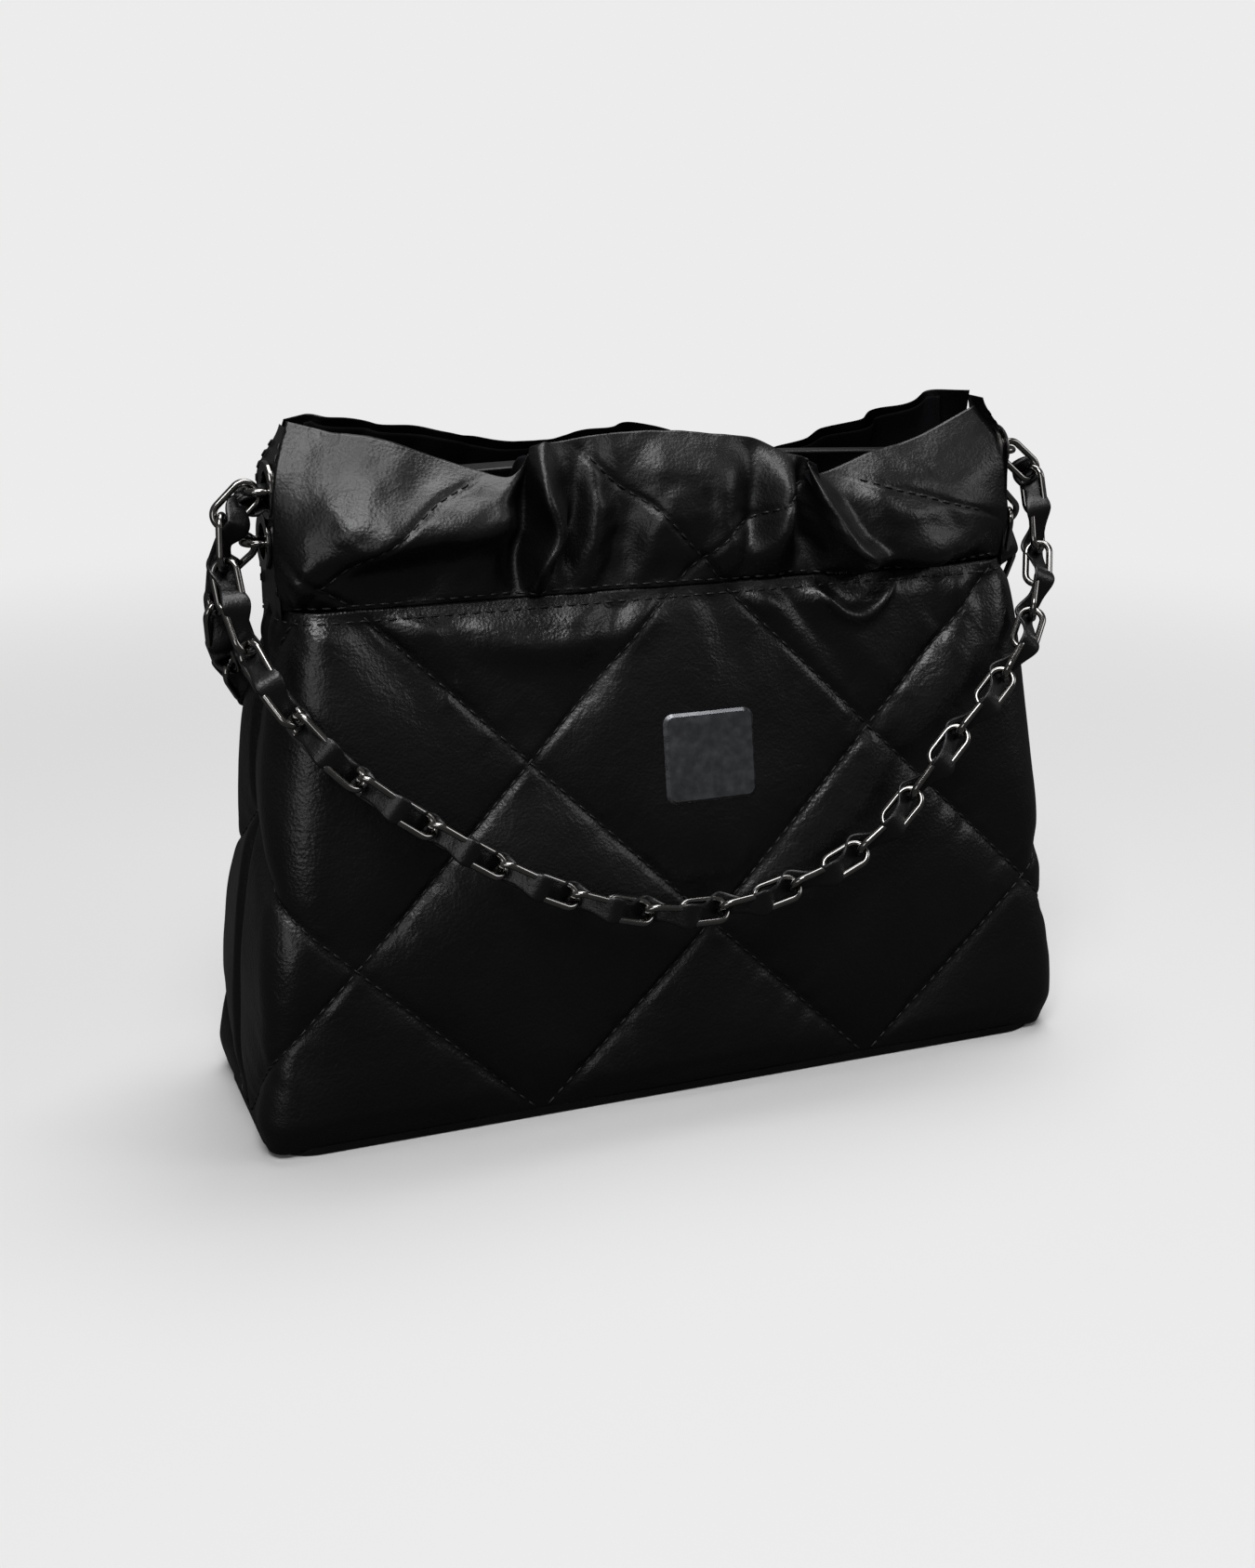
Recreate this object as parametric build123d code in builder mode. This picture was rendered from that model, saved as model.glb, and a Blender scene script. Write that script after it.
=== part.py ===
from build123d import *
import os
from math import cos, radians, sin

# A soft quilted leather bag with a boxed base, a gathered mouth and two chain handles.
# Millimetres. X runs along the front from left to right, Y from front to back, Z up.
# The origin is on the floor, under the middle of the base.

# ---- driving dimensions ----
base_width = 250.0            # outer length of the boxed base
base_depth = 68.0             # outer depth of the boxed base
belly_height = 53.0           # height of the fullest part of the quilted body
belly_width = 244.0
belly_depth = 69.0
shoulder_height = 105.0       # height at which the body draws in
shoulder_width = 233.0
shoulder_depth = 54.0
cinch_height = 150.0          # gathered seam between the quilted body and the ruffle
cinch_width = 222.0
cinch_depth = 36.0
rim_height = 192.0            # rim of the ruffle
ear_height = 199.0            # peak of the side gussets
body_corner = 14.0            # upright corner radius of the quilted body
ruffle_corner = 8.0           # upright corner radius of the ruffle

panel_wall = 2.4              # leather, foam and backing, quilted together
ruffle_wall = 2.0             # two plies of leather
gusset_wall = 1.6
base_leather = 2.2
board_thickness = 2.0         # stiffener under the lining
lining_wall = 0.8
lining_space = 1.2            # room for tapes and washers between the leather and the lining
board_gap = 0.4               # board edge to the inner face of the body
tape_width = 8.0              # gathering tape behind the cinch seam
tape_wall = 0.8
tape_gap = 0.15

gusset_width = 23.0           # side gusset between the open edges of the ruffle
gusset_peak_width = 8.0
gusset_taper = 9.0            # height over which the gusset narrows to its peak
facing_end_gap = 6.0          # end of the inner facing to the side gusset

link_length = 16.0            # outer length of one chain link
link_width = 9.0
wire = 2.0                    # wire diameter of the links
link_play = 0.5               # slack between two linked wires
strip_width = 2.6             # leather strip where the links pinch it
strip_thickness = 0.7
strip_end_gap = 0.6           # from the corner of a fold to the flat run of the strip
stop_ring_diameter = 14.0     # ring inside the bag that the eyelet stops

eyelet_clearance = 0.4        # link to bore, all round
eyelet_barrel_wall = 0.8
eyelet_flange = 2.0           # flange beyond the barrel
eyelet_flange_thickness = 1.0
washer_thickness = 0.8
washer_clearance = 0.1
eyelet_offset = 3.5           # front and back eyelets stand this far off the middle of the gusset
front_eyelet_height = 181.0
back_eyelet_height = 166.0

badge_width = 28.0
badge_height = 26.0
badge_thickness = 2.6
badge_corner = 3.0
badge_bevel = 0.9
badge_gap = 0.15
badge_x = 7.0                 # middle of the badge, over the middle diamond of the quilting
badge_z = 102.0
badge_pin = 1.6
badge_pin_spacing = 14.0
badge_pin_clearance = 0.2
badge_backing_size = 20.0
badge_backing_wall = 0.8
badge_backing_gap = 0.2

snap_height = 178.0
snap_diameter = 14.0
snap_body = 3.0               # thickness of each half of the magnetic snap
snap_stud = 4.0
snap_stud_reach = 1.6
snap_socket_clearance = 0.3
snap_leg = 3.0                # leg through the facing, spread behind a washer
snap_leg_clearance = 0.1
snap_washer_diameter = 12.0
snap_gap = 0.1

# ---- dimensions that follow ----
lining_inset = panel_wall + lining_space
board_top = base_leather + board_thickness
floor_top = board_top + lining_wall
eyelet_bore = link_width + 2 * eyelet_clearance
eyelet_barrel = eyelet_bore + 2 * eyelet_barrel_wall
eyelet_outer = eyelet_barrel + 2 * eyelet_flange
link_pitch = link_length - 2 * wire - link_play
side_face = cinch_width / 2

# The hanging curve of the front handle from its left eyelet to its right one.
drape = [
    (-122.5, -4.5, 177), (-124.5, -6.5, 168), (-124, -11, 155), (-121, -19, 141), (-113, -30, 126),
    (-98, -38, 109), (-80, -41, 95), (-58, -43, 80), (-34, -44, 68), (-11, -44.5, 62),
    (10, -44.5, 61.5), (32, -44, 66), (50, -43.5, 73), (65, -42, 85), (78, -40, 99),
    (96, -36, 115), (110, -29.5, 128), (119, -20, 141), (124, -11, 155), (124.5, -6.5, 168),
    (122.5, -4.5, 177),
]


# ---- forms that several pieces share ----
def body_form(inset):
    """The quilted body's form from the floor to the cinch seam, drawn in by inset."""
    sections = [
        (0, base_width, base_depth),
        (belly_height, belly_width, belly_depth),
        (shoulder_height, shoulder_width, shoulder_depth),
        (cinch_height, cinch_width, cinch_depth),
    ]
    with BuildPart() as form:
        for height, width, depth in sections:
            with BuildSketch(Plane.XY.offset(height)):
                RectangleRounded(width - 2 * inset, depth - 2 * inset, body_corner - inset)
        loft()
    return form.part


def body_shell(outer, inner, bottom, top):
    """The wall between two insets of the body's form, between two heights."""
    with BuildPart() as shell:
        add(body_form(outer))
        add(body_form(inner), mode=Mode.SUBTRACT)
        split(bisect_by=Plane.XY.offset(bottom), keep=Keep.TOP)
        if top < cinch_height:
            split(bisect_by=Plane.XY.offset(top), keep=Keep.BOTTOM)
    return shell.part


def mouth_shell(outer, inner, bottom, top):
    """The upright wall between two insets of the ruffle's plan, between two heights."""
    with BuildPart() as shell:
        with BuildSketch(Plane.XY.offset(bottom)):
            RectangleRounded(cinch_width - 2 * outer, cinch_depth - 2 * outer, ruffle_corner - outer)
            RectangleRounded(cinch_width - 2 * inner, cinch_depth - 2 * inner, ruffle_corner - inner,
                             mode=Mode.SUBTRACT)
        extrude(amount=top - bottom)
    return shell.part


def write(piece, name):
    """Label a finished piece and write its STEP file."""
    piece.part.label = name
    export_step(piece.part, f"parts/{name}.step")


os.makedirs("parts", exist_ok=True)

# ---- boxed base: leather, stiffening board and lining ----
with BuildPart() as base_panel:
    with BuildSketch():
        RectangleRounded(base_width, base_depth, body_corner)
    extrude(amount=base_leather)
write(base_panel, "base_panel")

board_inset = panel_wall + board_gap
with BuildPart() as base_board:
    with BuildSketch(Plane.XY.offset(base_leather)):
        RectangleRounded(base_width - 2 * board_inset - 1, base_depth - 2 * board_inset,
                         body_corner - board_inset)
    extrude(amount=board_thickness)
write(base_board, "base_board")

with BuildPart() as base_lining:
    with BuildSketch(Plane.XY.offset(board_top)):
        RectangleRounded(base_width - 2 * lining_inset, base_depth - 2 * lining_inset,
                         body_corner - lining_inset)
    extrude(amount=lining_wall)
write(base_lining, "base_lining")

# ---- badge seat: the point and the outward direction of the front wall behind the badge ----
quilted_wall = body_shell(0, panel_wall, base_leather, cinch_height)
sight_line = Axis((badge_x, -base_depth, badge_z), (0, 1, 0))
front_face = quilted_wall.faces().sort_by(Axis.Y)[0]
seat_point, seat_normal = front_face.find_intersection_points(sight_line)[0]
if seat_normal.Y > 0:
    seat_normal = -seat_normal
badge_seat = Plane(origin=seat_point, x_dir=(1, 0, 0), z_dir=seat_normal)
badge_pins = GridLocations(badge_pin_spacing, 0, 2, 1)

# ---- quilted body: a front and a back panel that meet at the side seams ----
with BuildPart() as front_panel:
    add(quilted_wall)
    split(bisect_by=Plane.XZ, keep=Keep.TOP)
    with BuildSketch(badge_seat.offset(1)):
        with badge_pins:
            Circle(badge_pin / 2 + badge_pin_clearance)
    extrude(amount=-(panel_wall + 2), mode=Mode.SUBTRACT)
write(front_panel, "front_panel")

with BuildPart() as back_panel:
    add(quilted_wall)
    split(bisect_by=Plane.XZ, keep=Keep.BOTTOM)
write(back_panel, "back_panel")

# ---- body lining, which hangs clear of the quilted wall ----
lining_shell = body_shell(lining_inset, lining_inset + lining_wall, floor_top, cinch_height)
for name, half in (("front_lining", Keep.TOP), ("back_lining", Keep.BOTTOM)):
    with BuildPart() as lining:
        add(lining_shell)
        split(bisect_by=Plane.XZ, keep=half)
    write(lining, name)

# ---- gathering tapes behind the cinch seam ----
tape_inset = panel_wall + tape_gap
tape_shell = body_shell(tape_inset, tape_inset + tape_wall, cinch_height - tape_width, cinch_height)
for name, half in (("front_gather_tape", Keep.TOP), ("back_gather_tape", Keep.BOTTOM)):
    with BuildPart() as tape:
        add(tape_shell)
        split(bisect_by=Plane.XZ, keep=half)
    write(tape, name)

# ---- ruffle: a front and a back band, open at the side gussets ----
ruffle_shell = mouth_shell(0, ruffle_wall, cinch_height, rim_height)
for name, side in (("front_ruffle", -1), ("back_ruffle", 1)):
    with BuildPart() as ruffle:
        add(ruffle_shell)
        split(bisect_by=Plane.XZ.offset(-side * gusset_width / 2),
              keep=Keep.BOTTOM if side > 0 else Keep.TOP)
    write(ruffle, name)

# ---- inner facings of the ruffle, with a hole for each half of the snap ----
facing_shell = mouth_shell(lining_inset, lining_inset + lining_wall, cinch_height, rim_height)
facing_end = side_face - facing_end_gap - gusset_wall
facing_face = cinch_depth / 2 - lining_inset - lining_wall
for name, side in (("front_facing", -1), ("back_facing", 1)):
    with BuildPart() as facing:
        add(facing_shell)
        split(bisect_by=Plane.XZ, keep=Keep.BOTTOM if side > 0 else Keep.TOP)
        split(bisect_by=Plane.YZ.offset(facing_end), keep=Keep.BOTTOM)
        split(bisect_by=Plane.YZ.offset(-facing_end), keep=Keep.TOP)
        with BuildSketch(Plane((0, side * (facing_face - 1), snap_height), z_dir=(0, side, 0))):
            Circle(snap_leg / 2 + snap_leg_clearance)
        extrude(amount=lining_wall + 2, mode=Mode.SUBTRACT)
    write(facing, name)


# ---- side gussets, eyelets and washers ----
eyelets = [(-eyelet_offset, front_eyelet_height), (eyelet_offset, back_eyelet_height)]


def side_plane(side, reach):
    """A plane across X at reach on one side, facing outwards, with its sketch up along Z."""
    return Plane(origin=(side * reach, 0, 0), x_dir=(0, side, 0), z_dir=(side, 0, 0))


def eyelet_spots(side):
    """The middles of the two eyelets in the sketch of side_plane."""
    return Locations(*[(side * offset, height) for offset, height in eyelets])


for side_name, side in (("left", -1), ("right", 1)):
    with BuildPart() as gusset:
        with BuildSketch(side_plane(side, side_face)):
            with BuildLine():
                Polyline(
                    (-gusset_width / 2, cinch_height),
                    (gusset_width / 2, cinch_height),
                    (gusset_width / 2, ear_height - gusset_taper),
                    (gusset_peak_width / 2, ear_height),
                    (-gusset_peak_width / 2, ear_height),
                    (-gusset_width / 2, ear_height - gusset_taper),
                    close=True,
                )
            make_face()
            with eyelet_spots(side):
                Circle(eyelet_barrel / 2, mode=Mode.SUBTRACT)
        extrude(amount=-gusset_wall)
    write(gusset, f"{side_name}_gusset")

    with BuildPart() as eyelet_pair:
        with BuildSketch(side_plane(side, side_face)):
            with eyelet_spots(side):
                Circle(eyelet_outer / 2)
                Circle(eyelet_bore / 2, mode=Mode.SUBTRACT)
        extrude(amount=eyelet_flange_thickness)
        fillet(eyelet_pair.edges().filter_by(GeomType.CIRCLE).group_by(Axis.X)[-1 if side > 0 else 0],
               radius=eyelet_flange_thickness * 0.4)
        with BuildSketch(side_plane(side, side_face)):
            with eyelet_spots(side):
                Circle(eyelet_barrel / 2)
                Circle(eyelet_bore / 2, mode=Mode.SUBTRACT)
        extrude(amount=-(gusset_wall + washer_thickness))
    write(eyelet_pair, f"{side_name}_eyelets")

    with BuildPart() as washer_pair:
        with BuildSketch(side_plane(side, side_face - gusset_wall)):
            with eyelet_spots(side):
                Circle(eyelet_outer / 2)
                Circle(eyelet_barrel / 2 + washer_clearance, mode=Mode.SUBTRACT)
        extrude(amount=-washer_thickness)
    write(washer_pair, f"{side_name}_eyelet_washers")

# ---- plain metal badge with two pins and a backing plate ----
with BuildPart() as badge:
    with BuildSketch(badge_seat.offset(badge_gap)):
        RectangleRounded(badge_width, badge_height, badge_corner)
    extrude(amount=badge_thickness)
    chamfer(badge.faces().sort_by(Axis(badge_seat.origin, badge_seat.z_dir))[-1].edges(), badge_bevel)
    with BuildSketch(badge_seat.offset(badge_gap)):
        with badge_pins:
            Circle(badge_pin / 2)
    extrude(amount=-(badge_gap + panel_wall + badge_backing_gap + badge_backing_wall))
write(badge, "badge")

with BuildPart() as badge_backing:
    with BuildSketch(badge_seat.offset(-(panel_wall + badge_backing_gap))):
        RectangleRounded(badge_backing_size, badge_backing_size, badge_corner)
        with badge_pins:
            Circle(badge_pin / 2 + badge_pin_clearance, mode=Mode.SUBTRACT)
    extrude(amount=-badge_backing_wall)
write(badge_backing, "badge_backing")


# ---- magnetic snap: a stud half on the front facing and a socket half on the back ----
def snap_plane(side, reach):
    """An upright plane across Y at reach on one side, facing the middle of the mouth."""
    return Plane(origin=(0, side * reach, snap_height), x_dir=(1, 0, 0), z_dir=(0, -side, 0))


snap_face = facing_face - snap_gap
with BuildPart() as snap_stud_half:
    with BuildSketch(snap_plane(-1, snap_face)):
        Circle(snap_diameter / 2)
    extrude(amount=snap_body)
    chamfer(snap_stud_half.edges().filter_by(GeomType.CIRCLE).group_by(Axis.Y)[-1], badge_bevel / 2)
    with BuildSketch(snap_plane(-1, snap_face - snap_body)):
        Circle(snap_stud / 2)
    extrude(amount=snap_stud_reach)
    with BuildSketch(snap_plane(-1, snap_face)):
        Circle(snap_leg / 2)
    extrude(amount=-(snap_gap + lining_wall + washer_thickness))
write(snap_stud_half, "snap_stud_half")

with BuildPart() as snap_socket_half:
    with BuildSketch(snap_plane(1, snap_face)):
        Circle(snap_diameter / 2)
    extrude(amount=snap_body)
    chamfer(snap_socket_half.edges().filter_by(GeomType.CIRCLE).group_by(Axis.Y)[0], badge_bevel / 2)
    with BuildSketch(snap_plane(1, snap_face - snap_body)):
        Circle(snap_stud / 2 + snap_socket_clearance)
    extrude(amount=-(snap_stud_reach + snap_socket_clearance), mode=Mode.SUBTRACT)
    with BuildSketch(snap_plane(1, snap_face)):
        Circle(snap_leg / 2)
    extrude(amount=-(snap_gap + lining_wall + washer_thickness))
write(snap_socket_half, "snap_socket_half")

with BuildPart() as snap_washers:
    for side in (-1, 1):
        with BuildSketch(snap_plane(side, facing_face + lining_wall)):
            Circle(snap_washer_diameter / 2)
            Circle(snap_leg / 2 + snap_leg_clearance, mode=Mode.SUBTRACT)
        extrude(amount=-washer_thickness)
write(snap_washers, "snap_washers")

# ---- one chain link, flat in XY and long in X ----
link_radius = (link_width - wire) / 2
link_straight = link_length - link_width
with BuildPart() as chain_link:
    for end in (-1, 1):
        with BuildSketch(Plane.YZ.offset(end * link_straight / 2)):
            with Locations((-link_radius, 0)):
                Circle(wire / 2)
        revolve(axis=Axis((end * link_straight / 2, 0, 0), (0, 0, end)), revolution_arc=180)
    with BuildSketch(Plane.YZ.offset(-link_straight / 2)):
        with GridLocations(2 * link_radius, 0, 2, 1):
            Circle(wire / 2)
    extrude(amount=link_straight)

# ---- handles: chain links, the leather strip woven through them, and a stop ring at each end ----
# The strip crosses the chain's middle line inside each link and folds between the planes of two
# linked wires, which it clears there by fold_clearance.
fold_clearance = 0.1
fold_offset = (wire / 2 + fold_clearance) * 2 ** 0.5 + (strip_width + strip_thickness) / 2
full_roll = 45.0              # roll of the links on the hanging stretch
roll_links = 4                # links over which the roll builds up from each end
ring_radius = (stop_ring_diameter - wire) / 2
link_end = link_pitch / 2 + eyelet_flange_thickness


def handle_route(side, eyelet_z):
    """The middle line of a handle, from inside the bag through both eyelets.

    side is -1 for the front handle and 1 for the back one, which is the front one turned about Z
    and lowered to its own eyelets.
    """
    drop = front_eyelet_height - eyelet_z
    hang = [(-side * x, -side * y, z - drop) for x, y, z in drape]
    near_end, near_gate, far_gate, far_end = [
        (side * x, side * eyelet_offset, eyelet_z)
        for x in (side_face - link_end, side_face + link_end, -side_face - link_end, link_end - side_face)
    ]
    with BuildLine() as route:
        Line(near_end, near_gate)
        Spline(near_gate, *hang, far_gate)
        Line(far_gate, far_end)
    return route.wire()


def directions(start, end):
    """Along a stretch, level across it towards the back, and square to both."""
    along = (end - start).normalized()
    level = Vector(0, 1, 0) - along * along.Y
    level = level.normalized()
    return along, level, along.cross(level)


def turned(level, upright, angle):
    """The direction at an angle in degrees from level towards upright."""
    return level * cos(radians(angle)) + upright * sin(radians(angle))


def make_handle(name, side, eyelet_z):
    """Write the links, the strip and the stop rings of one handle."""
    route = handle_route(side, eyelet_z)
    count = round(route.length / link_pitch)
    joints = [
        route.position_at(route.length * number / count, position_mode=PositionMode.LENGTH)
        for number in range(count + 1)
    ]
    rolls = [
        full_roll * min(1, number / roll_links, (count - 1 - number) / roll_links)
        for number in range(count)
    ]
    link_planes = []
    for number in range(count):
        along, level, upright = directions(joints[number], joints[number + 1])
        width = turned(level, upright, rolls[number] + 90 * (number % 2))
        middle = (joints[number] + joints[number + 1]) / 2
        link_planes.append(Plane(origin=middle, x_dir=along, z_dir=along.cross(width)))
    fold_sides = [Vector(0, 1, 0)]
    folds = [joints[0]]
    for number in range(1, count):
        along, level, upright = directions(joints[number], joints[number + 1])
        towards = turned(level, upright, rolls[number] - 45) * (1 - 2 * (number % 2))
        before = link_planes[number - 1].z_dir
        after = link_planes[number].z_dir
        before = before if before.dot(towards) > 0 else -before
        after = after if after.dot(towards) > 0 else -after
        fold_sides.append((before + after).normalized())
        folds.append(joints[number] + fold_sides[number] * fold_offset)

    with BuildPart() as links:
        with Locations(*[plane.location for plane in link_planes]):
            add(chain_link.part)
    write(links, f"{name}_chain_links")

    with BuildPart() as strip:
        for number in range(1, count - 1):
            start, end = folds[number], folds[number + 1]
            along = (end - start).normalized()
            width = along.cross(fold_sides[number]).normalized()
            stretch = Plane(origin=(start + end) / 2, x_dir=along, z_dir=along.cross(width))
            with BuildSketch(stretch):
                Rectangle((end - start).length - 2 * strip_end_gap, strip_width)
            extrude(amount=strip_thickness / 2, both=True)
    write(strip, f"{name}_chain_strip")

    with BuildPart() as rings:
        for plane, joint, inward in ((link_planes[0], joints[0], 1), (link_planes[-1], joints[-1], -1)):
            reach = (link_length - link_pitch) / 2 - wire / 2
            centre = joint + plane.x_dir * inward * (wire + link_play - reach - ring_radius)
            with Locations(Plane(origin=centre, x_dir=plane.x_dir, z_dir=plane.y_dir).location):
                Torus(ring_radius, wire / 2)
    write(rings, f"{name}_stop_rings")
    return count, route.length


for handle_name, handle_side, handle_height in (
    ("front", -1, front_eyelet_height),
    ("back", 1, back_eyelet_height),
):
    link_count, handle_length = make_handle(handle_name, handle_side, handle_height)
    print(f"{handle_name} handle: {link_count} links, {handle_length:.1f} mm")
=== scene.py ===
"""Quilted leather bucket bag with a gathered mouth and two chain handles.

The CAD frame gives every size and place. This file dresses it: quilted leather, the gathered
ruffle, linings, stitching, chain, leather strip and metal, with a plain stage and a camera.
Shapes are worked out in millimetres and written to meshes in metres.
"""

import bpy
import numpy as np
from mathutils import Matrix, Vector


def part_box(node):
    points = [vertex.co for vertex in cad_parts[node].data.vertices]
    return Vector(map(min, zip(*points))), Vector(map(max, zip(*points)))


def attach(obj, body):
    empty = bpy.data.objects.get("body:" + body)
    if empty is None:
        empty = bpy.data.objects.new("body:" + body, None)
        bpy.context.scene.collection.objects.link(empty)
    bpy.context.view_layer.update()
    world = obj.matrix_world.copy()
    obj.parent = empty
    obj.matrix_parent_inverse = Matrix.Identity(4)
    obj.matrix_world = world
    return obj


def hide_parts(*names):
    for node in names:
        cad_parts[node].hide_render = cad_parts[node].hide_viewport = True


bl_info = {
    "name": "Quilted Bucket Bag",
    "version": (1, 0, 0),
    "blender": (4, 5, 0),
    "location": "View3D > Sidebar > Bag",
    "description": "Dresses the bag's frame with quilted leather, chain, lining and a stage",
    "category": "Add Mesh",
}

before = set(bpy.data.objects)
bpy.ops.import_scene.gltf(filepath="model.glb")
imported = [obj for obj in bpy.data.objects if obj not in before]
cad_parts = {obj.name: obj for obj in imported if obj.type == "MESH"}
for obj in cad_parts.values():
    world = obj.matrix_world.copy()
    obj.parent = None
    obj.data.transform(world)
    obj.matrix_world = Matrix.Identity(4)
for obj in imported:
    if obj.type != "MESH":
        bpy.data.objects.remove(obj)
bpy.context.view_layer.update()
METRE = 0.001


def cad_box(node):
    """The lowest and highest corners of a CAD node, in millimetres."""
    low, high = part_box(node)
    return np.array(low) / METRE, np.array(high) / METRE


ruffle_low, ruffle_high = cad_box("front_ruffle")
gusset_low, gusset_high = cad_box("left_gusset")
CINCH = float(ruffle_low[2])              # height of the gathered seam
SIDE_FACE = float(-gusset_low[0])         # outer face of the side gussets, either side of the middle
GUSSET_HALF = float(gusset_high[1])
EAR_PEAK = float(gusset_high[2])
EYELETS = ((-3.5, 181.0), (3.5, 166.0))   # y and z of the eyelets' middles


# ---- colour and small helpers ----
def srgb(code):
    """A hex colour such as 0x101012, turned from sRGB to the linear values that shaders use."""
    parts = np.array([(code >> 16) & 255, (code >> 8) & 255, code & 255]) / 255.0
    linear = np.where(parts <= 0.04045, parts / 12.92, ((parts + 0.055) / 1.055) ** 2.4)
    return tuple(float(part) for part in linear)


def spline(knots, values, at):
    """A smooth curve through values at knots.

    Each stretch is a cubic Hermite piece. The slope at a knot is the mean slope beside it.
    """
    knots = np.asarray(knots, float)
    values = np.asarray(values, float)
    slopes = np.gradient(values, knots, axis=0)
    at = np.clip(at, knots[0], knots[-1])
    place = np.clip(np.searchsorted(knots, at, side="right") - 1, 0, len(knots) - 2)
    step = knots[place + 1] - knots[place]
    t = (at - knots[place]) / step
    extra = (slice(None),) * np.ndim(at) + (None,) * (values.ndim - 1)
    t, step = t[extra], step[extra]
    from_start = (2 * t**3 - 3 * t**2 + 1) * values[place] + (t**3 - 2 * t**2 + t) * step * slopes[place]
    to_end = (3 * t**2 - 2 * t**3) * values[place + 1] + (t**3 - t**2) * step * slopes[place + 1]
    return from_start + to_end


def noise(x, y, scale, seed):
    """Smooth random heights from -1 to 1: a seeded lattice of values, eased between its corners."""
    lattice = np.random.default_rng(seed).uniform(-1, 1, (64, 64))
    u, v = np.asarray(x) / scale, np.asarray(y) / scale
    iu, iv = np.floor(u).astype(int), np.floor(v).astype(int)
    fu, fv = u - iu, v - iv
    fu, fv = fu * fu * (3 - 2 * fu), fv * fv * (3 - 2 * fv)
    low = lattice[iu % 64, iv % 64] * (1 - fu) + lattice[(iu + 1) % 64, iv % 64] * fu
    high = lattice[iu % 64, (iv + 1) % 64] * (1 - fu) + lattice[(iu + 1) % 64, (iv + 1) % 64] * fu
    return low * (1 - fv) + high * fv


def bump(distance, width):
    """A rounded bump, 1 at no distance and near 0 beyond twice the width."""
    return np.exp(-((distance / width) ** 2))


def ramp(value, low, high):
    """0 below low, 1 above high, and eased between."""
    t = np.clip((np.asarray(value) - low) / (high - low), 0, 1)
    return t * t * (3 - 2 * t)


def unit(vectors):
    """The vectors scaled to length 1."""
    return vectors / np.maximum(np.linalg.norm(vectors, axis=-1, keepdims=True), 1e-9)


def grid_normals(points):
    """Normals of a grid of points: the cross product of its steps along rows and columns."""
    return unit(np.cross(np.gradient(points, axis=1), np.gradient(points, axis=0)))


def grid_faces(rows, columns, turn=False):
    """The four corners of each face of a grid, wound the other way round when turn is true."""
    index = np.arange(rows * columns).reshape(rows, columns)
    corners = [index[:-1, :-1], index[:-1, 1:], index[1:, 1:], index[1:, :-1]]
    faces = np.stack([corner.ravel() for corner in corners], axis=1)
    return faces[:, ::-1] if turn else faces


def add_mesh(name, points, faces, material, body="root", slot=None, smooth=True, uv=None):
    """Make a mesh piece from points in millimetres and put it on a body with its material."""
    mesh = bpy.data.meshes.new(name)
    points = np.asarray(points, float).reshape(-1, 3) * METRE
    faces = np.asarray(faces)
    count, size = faces.shape
    mesh.vertices.add(len(points))
    mesh.vertices.foreach_set("co", points.ravel())
    mesh.loops.add(count * size)
    mesh.loops.foreach_set("vertex_index", faces.ravel().astype(np.int32))
    mesh.polygons.add(count)
    mesh.polygons.foreach_set("loop_start", np.arange(0, count * size, size, dtype=np.int32))
    mesh.polygons.foreach_set("use_smooth", np.full(count, smooth))
    mesh.update(calc_edges=True)
    mesh.validate()
    if uv is not None:
        layer = mesh.uv_layers.new(name="pattern")
        layer.data.foreach_set("uv", np.asarray(uv, float)[faces.ravel()].ravel())
    piece = bpy.data.objects.new(name, mesh)
    bpy.context.scene.collection.objects.link(piece)
    mesh.materials.append(material)
    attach(piece, body)
    return piece


def thicken(piece, thickness):
    """Give a sheet its thickness inwards, with closed rims."""
    wall = piece.modifiers.new("wall", "SOLIDIFY")
    wall.thickness = thickness * METRE
    wall.offset = -1.0
    wall.use_rim = True
    wall.use_even_offset = False
    return piece


def tube_rings(line, across, up, outline):
    """Points of a section carried along a line: across and up are its two directions at each point."""
    first = across[:, None, :] * outline[None, :, :1]
    second = up[:, None, :] * outline[None, :, 1:]
    return line[:, None, :] + first + second


def ring_faces(rings, sides, start=0, loop=False):
    """Faces between the rings of a tube, and back to the first ring when loop is true."""
    a = np.arange(rings if loop else rings - 1)
    b = np.arange(sides)
    aa, bb = np.meshgrid(a, b, indexing="ij")
    nxt_a, nxt_b = (aa + 1) % rings, (bb + 1) % sides
    quads = [aa * sides + bb, aa * sides + nxt_b, nxt_a * sides + nxt_b, nxt_a * sides + bb]
    return np.stack([quad.ravel() for quad in quads], axis=1) + start


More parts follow.
